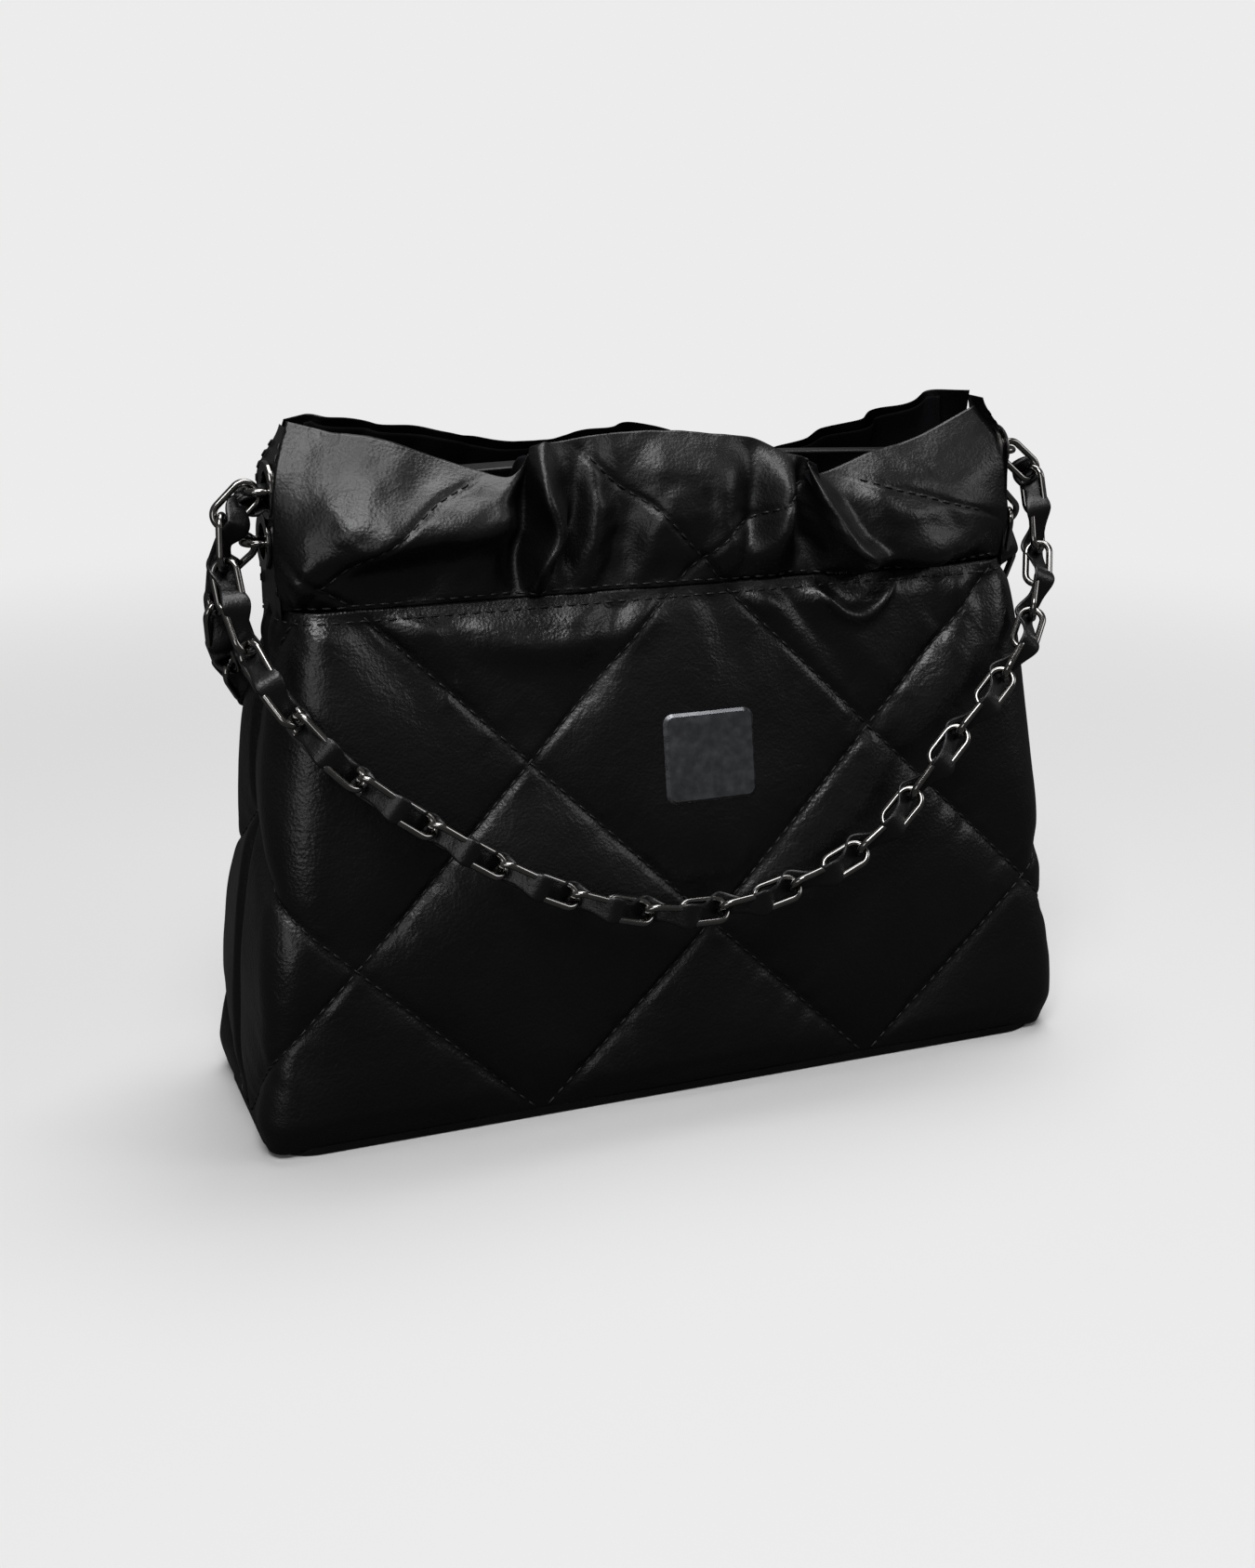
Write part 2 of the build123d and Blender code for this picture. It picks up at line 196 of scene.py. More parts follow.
# ---- sizes and colours that a user would change ----
class BagSizes(bpy.types.PropertyGroup):
    """Sizes of the quilting, the leather, the stitching and the chain, in metres."""

    quilt_across: bpy.props.FloatProperty(
        name="Quilt width", description="Width of one diamond of the quilting",
        default=0.106, unit="LENGTH")
    quilt_up: bpy.props.FloatProperty(
        name="Quilt height", description="Height of one diamond of the quilting",
        default=0.104, unit="LENGTH")
    puff: bpy.props.FloatProperty(
        name="Puff", description="How far the filling lifts the middle of a diamond",
        default=0.0036, unit="LENGTH")
    leather: bpy.props.FloatProperty(
        name="Leather", description="Thickness of the quilted leather",
        default=0.0018, unit="LENGTH")
    lining: bpy.props.FloatProperty(
        name="Lining", description="Thickness of the lining", default=0.0006, unit="LENGTH")
    stitch_pitch: bpy.props.FloatProperty(
        name="Stitch pitch", description="From one stitch to the next", default=0.0039, unit="LENGTH")
    stitch_length: bpy.props.FloatProperty(
        name="Stitch length", description="Length of thread that shows", default=0.0029, unit="LENGTH")
    thread: bpy.props.FloatProperty(
        name="Thread", description="Diameter of the sewing thread", default=0.0006, unit="LENGTH")
    strip_width: bpy.props.FloatProperty(
        name="Strip width", description="Width of the leather strip in the chain",
        default=0.0078, unit="LENGTH")


class BagColours(bpy.types.PropertyGroup):
    """Colours of the leather, the strip, the lining, the thread and the metal."""

    leather: bpy.props.FloatVectorProperty(
        name="Leather", description="Coated leather of the bag", subtype="COLOR",
        default=srgb(0x08080A))
    strip: bpy.props.FloatVectorProperty(
        name="Strip", description="Leather strip in the chain", subtype="COLOR",
        default=srgb(0x0C0C0E))
    lining: bpy.props.FloatVectorProperty(
        name="Lining", description="Woven lining", subtype="COLOR", default=srgb(0x101013))
    thread: bpy.props.FloatVectorProperty(
        name="Thread", description="Sewing thread", subtype="COLOR", default=srgb(0x0B0B0D))
    metal: bpy.props.FloatVectorProperty(
        name="Metal", description="Gunmetal plating", subtype="COLOR", default=srgb(0x8A8886))


def sizes():
    return bpy.context.scene.bag_sizes


def colours():
    return bpy.context.scene.bag_colours


# ---- materials ----
def node(tree, kind, inputs=None, **settings):
    """Add a shader node, set its settings, and fill or link its inputs."""
    made = tree.nodes.new(kind)
    for name, value in settings.items():
        setattr(made, name, value)
    for name, value in (inputs or {}).items():
        socket = made.inputs[name]
        if isinstance(value, bpy.types.NodeSocket):
            tree.links.new(value, socket)
        else:
            socket.default_value = value
    return made


def new_material(name):
    """An empty material and its tree, with an output node."""
    material = bpy.data.materials.new(name)
    material.use_nodes = True
    tree = material.node_tree
    tree.nodes.clear()
    return material, tree, tree.nodes.new("ShaderNodeOutputMaterial")


def per_metre(size_mm):
    """Pattern scale for cells of a size in millimetres."""
    return 1.0 / (size_mm * METRE)


def coated_leather(name, colour, grain_mm, roughness, grain_depth):
    """Calf leather with a thin polyurethane coat, embossed with a fine pebble grain.

    The grain breaks highlights into a crackle, and the coat keeps a soft broad sheen.
    """
    material, tree, output = new_material(name)
    place = node(tree, "ShaderNodeTexCoord").outputs["Object"]
    # Pebbles, drawn a little coarser than the real grain so that they show.
    pebbles = node(tree, "ShaderNodeTexVoronoi", {"Vector": place, "Scale": per_metre(grain_mm),
                                                  "Randomness": 0.95}, feature="F1")
    creases = node(tree, "ShaderNodeTexNoise", {"Vector": place, "Scale": per_metre(4.0),
                                                "Detail": 5.0, "Roughness": 0.62, "Distortion": 0.6})
    wear = node(tree, "ShaderNodeTexNoise", {"Vector": place, "Scale": per_metre(30.0), "Detail": 2.0})
    rough = node(tree, "ShaderNodeMapRange", {"Value": wear.outputs["Fac"], "From Min": 0.3,
                                              "From Max": 0.7, "To Min": roughness - 0.05,
                                              "To Max": roughness + 0.07})
    lift = node(tree, "ShaderNodeBump", {"Height": pebbles.outputs["Distance"], "Distance": 0.00012,
                                         "Strength": grain_depth})
    fold = node(tree, "ShaderNodeBump", {"Height": creases.outputs["Fac"], "Distance": 0.0006,
                                         "Strength": grain_depth * 0.75, "Normal": lift.outputs["Normal"]})
    tint = node(tree, "ShaderNodeMapRange", {"Value": pebbles.outputs["Distance"], "From Min": 0.0,
                                             "From Max": 0.8, "To Min": 0.8, "To Max": 1.25})
    tinted = node(tree, "ShaderNodeVectorMath", {0: colour, "Scale": tint.outputs["Result"]},
                  operation="SCALE")
    shader = node(tree, "ShaderNodeBsdfPrincipled", {
        "Base Color": tinted.outputs["Vector"], "Roughness": rough.outputs["Result"], "IOR": 1.5,
        "Normal": fold.outputs["Normal"]})
    tree.links.new(shader.outputs["BSDF"], output.inputs["Surface"])
    return material


def woven_lining(name, colour):
    """Plain woven polyester lining: dull, with fine threads across each other."""
    material, tree, output = new_material(name)
    place = node(tree, "ShaderNodeTexCoord").outputs["Object"]
    # Threads half a millimetre apart, a little coarser than real so that they show.
    warp = node(tree, "ShaderNodeTexWave", {"Vector": place, "Scale": per_metre(0.5 * 3.14),
                                            "Distortion": 0.3}, bands_direction="X")
    weft = node(tree, "ShaderNodeTexWave", {"Vector": place, "Scale": per_metre(0.5 * 3.14),
                                            "Distortion": 0.3}, bands_direction="Z")
    weave = node(tree, "ShaderNodeMath", {0: warp.outputs["Fac"], 1: weft.outputs["Fac"]},
                 operation="MAXIMUM")
    lift = node(tree, "ShaderNodeBump", {"Height": weave.outputs["Value"], "Distance": 0.0001,
                                         "Strength": 0.5})
    tint = node(tree, "ShaderNodeMapRange", {"Value": weave.outputs["Value"], "To Min": 0.7,
                                             "To Max": 1.2})
    tinted = node(tree, "ShaderNodeVectorMath", {0: colour, "Scale": tint.outputs["Result"]},
                  operation="SCALE")
    shader = node(tree, "ShaderNodeBsdfPrincipled", {
        "Base Color": tinted.outputs["Vector"], "Roughness": 0.85, "Specular IOR Level": 0.12,
        "Normal": lift.outputs["Normal"]})
    tree.links.new(shader.outputs["BSDF"], output.inputs["Surface"])
    return material


def polyester_thread(name, colour):
    """Twisted polyester thread: a soft sheen and fine slanting plies."""
    material, tree, output = new_material(name)
    place = node(tree, "ShaderNodeTexCoord").outputs["Object"]
    plies = node(tree, "ShaderNodeTexWave", {"Vector": place, "Scale": per_metre(0.3 * 3.14)},
                 bands_direction="DIAGONAL")
    lift = node(tree, "ShaderNodeBump", {"Height": plies.outputs["Fac"], "Distance": 0.00005,
                                         "Strength": 0.6})
    shader = node(tree, "ShaderNodeBsdfPrincipled", {
        "Base Color": (*colour, 1.0), "Roughness": 0.5, "Normal": lift.outputs["Normal"]})
    tree.links.new(shader.outputs["BSDF"], output.inputs["Surface"])
    return material


def gunmetal_plating(name, colour, roughness):
    """Zinc alloy plated with polished black nickel: dark, bright reflections, faint wear."""
    material, tree, output = new_material(name)
    place = node(tree, "ShaderNodeTexCoord").outputs["Object"]
    wear = node(tree, "ShaderNodeTexNoise", {"Vector": place, "Scale": per_metre(3.0), "Detail": 4.0})
    rough = node(tree, "ShaderNodeMapRange", {"Value": wear.outputs["Fac"], "From Min": 0.3,
                                              "From Max": 0.7, "To Min": roughness * 0.8,
                                              "To Max": roughness * 1.4})
    tint = node(tree, "ShaderNodeMapRange", {"Value": wear.outputs["Fac"], "From Min": 0.3,
                                             "From Max": 0.7, "To Min": 0.9, "To Max": 1.08})
    tinted = node(tree, "ShaderNodeVectorMath", {0: colour, "Scale": tint.outputs["Result"]},
                  operation="SCALE")
    shader = node(tree, "ShaderNodeBsdfPrincipled", {
        "Base Color": tinted.outputs["Vector"], "Metallic": 1.0, "Roughness": rough.outputs["Result"]})
    tree.links.new(shader.outputs["BSDF"], output.inputs["Surface"])
    return material


def grey_board(name):
    """Unbleached pressed board, dull and fibrous."""
    material, tree, output = new_material(name)
    place = node(tree, "ShaderNodeTexCoord").outputs["Object"]
    fibres = node(tree, "ShaderNodeTexNoise", {"Vector": place, "Scale": per_metre(1.5), "Detail": 6.0})
    tint = node(tree, "ShaderNodeMapRange", {"Value": fibres.outputs["Fac"], "To Min": 0.8, "To Max": 1.2})
    tinted = node(tree, "ShaderNodeVectorMath", {0: srgb(0x8A7A62), "Scale": tint.outputs["Result"]},
                  operation="SCALE")
    shader = node(tree, "ShaderNodeBsdfPrincipled", {"Base Color": tinted.outputs["Vector"],
                                                     "Roughness": 0.9})
    tree.links.new(shader.outputs["BSDF"], output.inputs["Surface"])
    return material


def material(name):
    """A finish by its name, made the first time that it is asked for."""
    made = bpy.data.materials.get(name)
    if made:
        return made
    shades = colours()
    makers = {
        "quilted coated leather": lambda: coated_leather(name, shades.leather, 0.9, 0.33, 0.6),
        "plain coated leather": lambda: coated_leather(name, shades.leather, 0.9, 0.36, 0.55),
        "strip leather": lambda: coated_leather(name, shades.strip, 0.7, 0.36, 0.4),
        "woven lining": lambda: woven_lining(name, shades.lining),
        "polyester thread": lambda: polyester_thread(name, shades.thread),
        "polished gunmetal": lambda: gunmetal_plating(name, shades.metal, 0.13),
        "satin gunmetal": lambda: gunmetal_plating(name, shades.metal, 0.26),
        "dark gunmetal": lambda: gunmetal_plating(name, srgb(0x85878B), 0.3),
        "pressed board": lambda: grey_board(name),
    }
    return makers[name]()


# ---- the quilted body ----
GRID_X, GRID_Z = 7.0, 53.0               # a crossing of the quilting's lines
BODY_KNOTS = (0.0, 26.0, 53.0, 105.0, CINCH)
BODY_HALF_WIDTH = (125.2, 124.0, 121.4, 115.4, SIDE_FACE - 0.4)
BODY_HALF_DEPTH = (33.4, 34.0, 33.4, 25.6, 17.6)
BODY_CORNER = (5.0, 6.5, 8.5, 12.5, 11.0)
HEM_ROLL = 2.6                           # radius of the fold at the foot of the panels


def quilt_lines(along, height):
    """Distance to the nearest line of each slanting set, and the two distances along the lines."""
    size = sizes()
    across, up = size.quilt_across / METRE, size.quilt_up / METRE
    spacing = 1.0 / np.hypot(1.0 / across, 1.0 / up)
    rising = (along - GRID_X) / across + (height - GRID_Z) / up
    falling = (along - GRID_X) / across - (height - GRID_Z) / up
    near_rising = np.abs(rising - np.round(rising)) * spacing
    near_falling = np.abs(falling - np.round(falling)) * spacing
    return near_rising, near_falling, rising * spacing, falling * spacing


def quilt_height(along, height, seed):
    """How far the quilted leather stands out, in millimetres.

    Each diamond rises from its lines with a round shoulder. Thread pulls a narrow groove along the
    lines, short puckers cross it, and broad noise makes the filling uneven.
    """
    puff = sizes().puff / METRE
    near_a, near_b, run_a, run_b = quilt_lines(along, height)
    swell = (1 - np.exp(-near_a / 8.5)) * (1 - np.exp(-near_b / 8.5))
    groove = 0.55 * (bump(near_a, 1.1) + bump(near_b, 1.1))
    pucker_a = noise(run_b, near_a * 0.35, 4.5, seed) * np.exp(-near_a / 6) * ramp(near_a, 0, 2)
    pucker_b = noise(run_a, near_b * 0.35, 4.5, seed + 1) * np.exp(-near_b / 6) * ramp(near_b, 0, 2)
    uneven = noise(along, height, 38, seed + 2) * 0.9 + noise(along, height, 17, seed + 3) * 0.35
    return puff * swell - groove + 0.75 * (pucker_a + pucker_b) + uneven * swell


def hand_folds(along, height, folds):
    """Soft folds that hang from the cinch: each is a slanting ridge that widens and fades downwards.

    A fold is its place along the seam, its slant, its half width, its height and its reach.
    """
    drop = CINCH - height
    total = np.zeros_like(along)
    for place, slant, width, lift, reach in folds:
        beside = along - place - slant * drop
        total += lift * bump(beside, width * (1 + drop / 45)) * np.exp(-((drop / reach) ** 1.6))
    return total * ramp(drop, 0, 5)


FRONT_FOLDS = (
    (-104, 0.3, 6, 1.6, 26), (-92, 0.55, 5, -1.6, 34), (-80, 0.7, 6, 2.0, 30), (-66, 0.2, 5, -1.4, 18),
    (-29, -0.2, 5, 1.5, 20), (-16, -0.5, 4, -1.7, 26), (-6, -0.55, 5, 1.4, 30), (9, 0.3, 4, -1.5, 24),
    (22, 0.75, 5, 2.2, 34), (31, 0.8, 4, -1.8, 34), (39, 0.7, 5, 1.4, 30), (84, -0.1, 5, -1.6, 40),
    (92, -0.1, 5, 1.8, 44), (103, -0.2, 5, -1.6, 36), (118, -0.1, 5, 1.4, 30),
)
BACK_FOLDS = tuple(
    (place, 0.5 * np.sin(place * 0.7), 5.0, 1.7 * (1 if order % 2 else -1), 22 + 9 * np.cos(place))
    for order, place in enumerate(np.linspace(-112, 112, 19))
)


def drooping_folds(along, height):
    """Two loose folds just under the front cinch: a flat roll on the left, a slack U on the right."""
    roll_line = 136.0 + 0.006 * (along + 36) ** 2
    roll = 2.6 * bump(height - roll_line, 5.0) * np.exp(-(((along + 36) / 27) ** 4))
    slack_line = 137.5 + 0.055 * (along - 56) ** 2
    slack = 2.8 * bump(height - slack_line, 2.6) * np.exp(-(((along - 56) / 16) ** 4))
    hollow = -1.6 * bump(height - slack_line - 6, 4.0) * np.exp(-(((along - 56) / 11) ** 4))
    return roll + slack + hollow


def body_outline(height, fraction):
    """Points of half the body's outline at each height, and how far along it each one is.

    Measured from the middle of the front, the outline runs straight to the corner, round a quarter
    circle, and straight back to the side seam. fraction runs from -1 to 1 between the side seams.
    """
    half_width = spline(BODY_KNOTS, BODY_HALF_WIDTH, height)
    half_depth = spline(BODY_KNOTS, BODY_HALF_DEPTH, height)
    corner = spline(BODY_KNOTS, BODY_CORNER, height)
    face = half_width - corner
    turn = corner * np.pi / 2
    reach = np.abs(fraction) * (face + turn + half_depth - corner)
    angle = np.clip((reach - face) / corner, 0, np.pi / 2)
    x = np.minimum(reach, face) + corner * np.sin(angle)
    y = -(half_depth - corner) - corner * np.cos(angle) + np.maximum(reach - face - turn, 0)
    return np.sign(fraction) * x, y, np.sign(fraction) * reach


def body_surface(height, fraction, side, detail=1.0, inset=0.0):
    """The leather of the body: the outline, rolled in at the foot, and lifted by the quilting."""
    x, y, along = body_outline(height, fraction)
    points = np.stack([x, y, height + 0 * x], axis=-1)
    normals = grid_normals(points)
    tuck = HEM_ROLL - np.sqrt(np.maximum(HEM_ROLL**2 - (HEM_ROLL - np.minimum(height, HEM_ROLL)) ** 2, 0))
    lift = quilt_height(along, height, 11 if side < 0 else 41)
    lift += hand_folds(along, height, FRONT_FOLDS if side < 0 else BACK_FOLDS)
    if side < 0:
        lift += drooping_folds(along, height)
    calm = ramp(height, 0, 12) * ramp(CINCH + 1 - height, 0, 9) * ramp(1 - np.abs(fraction), 0, 0.035)
    seam = -0.9 * bump((1 - np.abs(fraction)) * 150, 2.0)
    points += normals * (lift * calm * detail + seam * detail - tuck - inset)[..., None]
    if side > 0:
        points[..., 1] *= -1
    return points, along


def body_grid(rows, columns, low=0.0, high=CINCH):
    """Heights and fractions of a grid over half the body, finer towards the cinch."""
    climb = np.linspace(0, 1, rows)
    height = low + (high - low) * (climb * 1.25 - 0.25 * climb**2)
    return np.meshgrid(height, np.linspace(-1, 1, columns), indexing="ij")


class BAG_OT_quilted_body(bpy.types.Operator):
    """Make the quilted front and back panels"""

    bl_idname = "bag.quilted_body"
    bl_label = "Quilted body"

    def execute(self, context):
        for name, side in (("front", -1), ("back", 1)):
            height, fraction = body_grid(146, 320)
            points, along = body_surface(height, fraction, side)
            piece = add_mesh(f"{name}_quilted_panel", points, grid_faces(*height.shape, turn=side > 0),
                             material("quilted coated leather"), slot="quilted_leather",
                             uv=np.stack([along, height], axis=-1).reshape(-1, 2) * METRE)
            thicken(piece, sizes().leather)
            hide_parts(f"{name}_panel")
        return {"FINISHED"}


# ---- the gathered ruffle ----
# The front ruffle's folds, column by column from the left ear to the right one. Each column holds
# (x, y, z) at the cinch, low, middle, high and rim. They are shaped one by one: a tall left ear, an
# S-shaped roll left of the middle, shallow pleats, then a deep fold that flops out on the right.
FRONT_RUFFLE = (
    ((-110.5, -11.8, 150), (-111.8, -12.2, 158), (-111.8, -12, 172), (-110, -9.5, 187), (-105, -2, 198.5)),
    ((-104, -15, 150), (-108, -20, 158), (-106, -19, 172), (-102, -13, 186), (-97, -6, 196.5)),
    ((-90, -17.5, 150), (-91, -20, 159), (-90, -28, 168), (-88, -19, 183), (-84, -9, 194)),
    ((-74, -17.5, 150), (-75, -19, 160), (-75, -29, 169), (-73, -21, 181), (-68, -13, 189.5)),
    ((-60, -17.5, 150), (-61, -18.5, 161), (-60, -29, 170), (-58, -23, 180), (-56, -17, 185.5)),
    ((-52, -17.5, 150), (-53, -18, 161), (-51, -26, 171), (-50, -23, 180), (-48.5, -19, 183.5)),
    ((-47, -17, 150), (-47, -14, 160), (-45, -14.5, 170), (-44, -14, 180), (-42.5, -13, 188)),
    ((-42, -18, 150), (-43, -27.5, 158), (-38, -28, 168), (-41, -25, 182), (-39, -14.5, 191)),
    ((-36, -17.5, 150), (-34, -15.5, 160), (-30, -15.5, 172), (-31, -15, 184), (-32, -13, 191.5)),
    ((-27, -18, 150), (-26, -21, 160), (-24, -21, 172), (-24, -17, 184), (-23, -12.5, 192.5)),
    ((-20, -17, 150), (-18, -15.5, 160), (-16, -15.5, 170), (-16, -15, 183), (-15, -12, 193)),
    ((-8, -18, 150), (-7, -21, 160), (-5, -21, 172), (-4, -18, 184), (-3, -12, 193)),
    ((6, -18, 150), (7, -21, 160), (8, -22, 172), (8, -19, 184), (9, -12, 192)),
    ((15, -18, 150), (16, -23, 160), (15, -23, 170), (17, -19, 182), (18, -12.5, 191)),
    ((22, -17, 150), (21, -20, 158), (23, -16, 168), (24, -15, 182), (25, -13, 190)),
    ((29, -17.5, 150), (29, -23, 158), (31, -26, 167), (33, -22, 180), (34, -14.5, 186.5)),
    ((38, -16, 150), (38, -14, 158), (38, -14, 167), (39, -14.5, 176), (40, -16, 184)),
    ((56, -18, 150), (58, -29, 154), (52, -30, 161), (46, -25, 172), (42, -17, 181)),
    ((66, -17, 150), (66, -24, 154), (58, -22, 162), (52, -18, 172), (46.5, -13, 178.5)),
    ((78, -17, 150), (78, -25, 153), (70, -24, 164), (62, -19, 174), (57, -11, 181)),
    ((90, -15.5, 150), (93, -21, 155), (86, -22, 165), (79, -16, 177), (71, -8, 184.5)),
    ((102, -14, 150), (106, -14, 158), (100, -17, 168), (94, -12, 180), (88, -5, 188.5)),
    ((110, -11.8, 150), (112, -12, 159), (111.5, -12, 168), (109.5, -9.5, 184), (104, -2, 194.5)),
)
BACK_RIM_X = (-105, -60, -40, 0, 42, 75, 105)
BACK_RIM_Z = (198.5, 192, 188, 191, 182.5, 189, 198.5)


def back_ruffle_columns():
    """The back ruffle's folds: pleats of seeded depth between the same ears."""
    x = np.linspace(-110.3, 110.3, 27)
    rng = np.random.default_rng(5)
    fold = np.where(np.arange(27) % 2, 1.0, -1.0) * rng.uniform(1.4, 3.4, 27)
    sway = rng.uniform(-2.5, 2.5, 27)
    ends = ramp(110.3 - np.abs(x), 0, 22)
    rim = spline(BACK_RIM_X, BACK_RIM_Z, np.clip(x, -105, 105))
    lean = (0.0, 0.22, 0.5, 0.78, 1.0)
    depth = (0.0, 4.5, 6.0, 3.0, -3.0)
    columns = []
    for part, out in zip(lean, depth):
        across = x * (1 - 0.05 * part**2) + sway * part * ends
        bulge = 11.8 + 5.6 * ends + out * ends + fold * ends * (part > 0) * (1 - 0.45 * part)
        bulge = np.where(ends < 0.05, 11.8 - 9.6 * part**3, bulge)
        columns.append(np.stack([across, bulge, CINCH + (rim - CINCH) * part], axis=-1))
    return np.stack(columns, axis=1)


def ruffle_surface(side, rows, columns, detail=1.0):
    """A smooth sheet through the ruffle's folds, then quilted lines, gathers and small creases on it."""
    folds = np.array(FRONT_RUFFLE, float) if side < 0 else back_ruffle_columns()
    climb = np.linspace(0, 1, rows)
    up_knots = (0.0, 0.2, 0.48, 0.8, 1.0)
    strips = spline(up_knots, folds.transpose(1, 0, 2), climb).transpose(1, 0, 2)
    steps = np.linalg.norm(np.diff(folds[:, 1], axis=0), axis=-1)
    knots = np.concatenate([[0], np.cumsum(steps)])
    across = np.linspace(0, knots[-1], columns)
    points = spline(knots, strips, across).transpose(1, 0, 2)
    normals = grid_normals(points) * (1 if side < 0 else -1)
    start = spline(knots, folds[:, 0, 0], across)[None, :] + np.zeros((rows, 1))
    climb = climb[:, None] + np.zeros((1, columns))
    height = CINCH + 47 * climb
    near_a, near_b, _, _ = quilt_lines(start, height)
    rest = 1 - ramp(climb, 0.86, 1.0)
    lift = -0.7 * (bump(near_a, 1.3) + bump(near_b, 1.3)) * rest
    lift += 0.9 * noise(across[None, :] + 0 * climb, height * 0.25, 5.0, 71 + side) * np.exp(-climb * 5)
    lift += 0.9 * noise(across[None, :] + 9 * climb, height, 13.0, 81 + side)
    lift += 0.35 * noise(across[None, :] - 7 * climb, height, 5.5, 91 + side)
    ends = ramp(np.minimum(across, knots[-1] - across), 0, 8)[None, :]
    points = points + normals * (lift * ends * ramp(climb, 0, 0.05) * detail)[..., None]
    return points, normals, start, height


class BAG_OT_ruffle(bpy.types.Operator):
    """Make the gathered ruffle around the mouth"""

    bl_idname = "bag.ruffle"
    bl_label = "Ruffle"

    def execute(self, context):
        for name, side in (("front", -1), ("back", 1)):
            points, normals, start, height = ruffle_surface(side, 96, 420)
            piece = add_mesh(f"{name}_gathered_ruffle", points, grid_faces(96, 420, turn=side > 0),
                             material("plain coated leather"), slot="quilted_leather",
                             uv=np.stack([start, height], axis=-1).reshape(-1, 2) * METRE)
            thicken(piece, sizes().leather)
            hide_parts(f"{name}_ruffle")
        return {"FINISHED"}


# ---- linings, gussets and tapes ----
def ear_gusset(turn):
    """The side gusset: a flat strip that narrows and leans in at its peak, open behind each eyelet."""
    climb, across = np.meshgrid(np.linspace(0, 1, 72), np.linspace(-1, 1, 40), indexing="ij")
    z = CINCH - 3 + (EAR_PEAK - 2 - CINCH + 3) * climb
    half = GUSSET_HALF + 1.0 - 8.0 * ramp(climb, 0.6, 1.0) ** 1.4
    lean = 5.6 * ramp(climb, 0.72, 1.05)
    x = SIDE_FACE - 0.2 - lean + 0.15 * noise(across * 10, z, 9.0, 17)
    points = np.stack([turn * x, across * half, z], axis=-1)
    faces = grid_faces(*z.shape, turn=turn < 0)
    middle = points.reshape(-1, 3)[faces].mean(axis=1)
    clear = np.ones(len(faces), bool)
    for y, height in EYELETS:
        clear &= np.hypot(middle[:, 1] - y, middle[:, 2] - height) > 6.2
    return points, faces[clear]


class BAG_OT_linings(bpy.types.Operator):
    """Make the side gussets, the linings, the facings and the gather tapes"""

    bl_idname = "bag.linings"
    bl_label = "Linings and gussets"

    def execute(self, context):
        thin = sizes().lining
        cloth = material("woven lining")
        for name, turn in (("left", -1), ("right", 1)):
            points, faces = ear_gusset(turn)
            piece = add_mesh(f"{name}_ear_gusset", points, faces, material("plain coated leather"),
                             slot="black_leather")
            thicken(piece, 0.0016)
            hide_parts(f"{name}_gusset")
        for name, side in (("front", -1), ("back", 1)):
            turn = side > 0
            height, fraction = body_grid(70, 180, low=5.2, high=CINCH - 0.5)
            points, along = body_surface(height, fraction, side, detail=0.0, inset=4.6)
            normals = grid_normals(points) * (-1 if turn else 1)
            sag = noise(along, height, 26, 51 + side) * 1.1 - 0.6
            points = points + normals * np.minimum(sag * ramp(height, 5, 20), 0.4)[..., None]
            piece = add_mesh(f"{name}_loose_lining", points, grid_faces(*height.shape, turn=turn), cloth,
                             slot="lining_fabric")
            thicken(piece, thin)
            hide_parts(f"{name}_lining")

            height, fraction = body_grid(8, 160, low=CINCH - 8, high=CINCH)
            points, _ = body_surface(height, fraction, side, detail=0.0, inset=3.0)
            piece = add_mesh(f"{name}_ribbon_tape", points, grid_faces(*height.shape, turn=turn), cloth,
                             slot="gather_tape")
            thicken(piece, thin)
            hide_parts(f"{name}_gather_tape")

            points, normals, _, _ = ruffle_surface(side, 50, 260, detail=0.0)
            points, normals = points[:-1, 6:-6], normals[:-1, 6:-6]
            points = points - normals * 2.3
            near = bump(np.hypot(points[..., 0], points[..., 2] - 178), 10)
            points[..., 1] += near * (side * 14.2 - points[..., 1])
            piece = add_mesh(f"{name}_loose_facing", points, grid_faces(*points.shape[:2], turn=turn),
                             cloth, slot="lining_fabric")
            thicken(piece, thin)
            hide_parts(f"{name}_facing")
        return {"FINISHED"}


# ---- stitching ----
def sample(grid, row, column):
    """Values of a grid between its points, by linear steps along rows and columns."""
    row = np.clip(row, 0, grid.shape[0] - 1.001)
    column = np.clip(column, 0, grid.shape[1] - 1.001)
    i, j = row.astype(int), column.astype(int)
    p, q = (row - i)[:, None], (column - j)[:, None]
    low = grid[i, j] * (1 - q) + grid[i, j + 1] * q
    high = grid[i + 1, j] * (1 - q) + grid[i + 1, j + 1] * q
    return low * (1 - p) + high * p


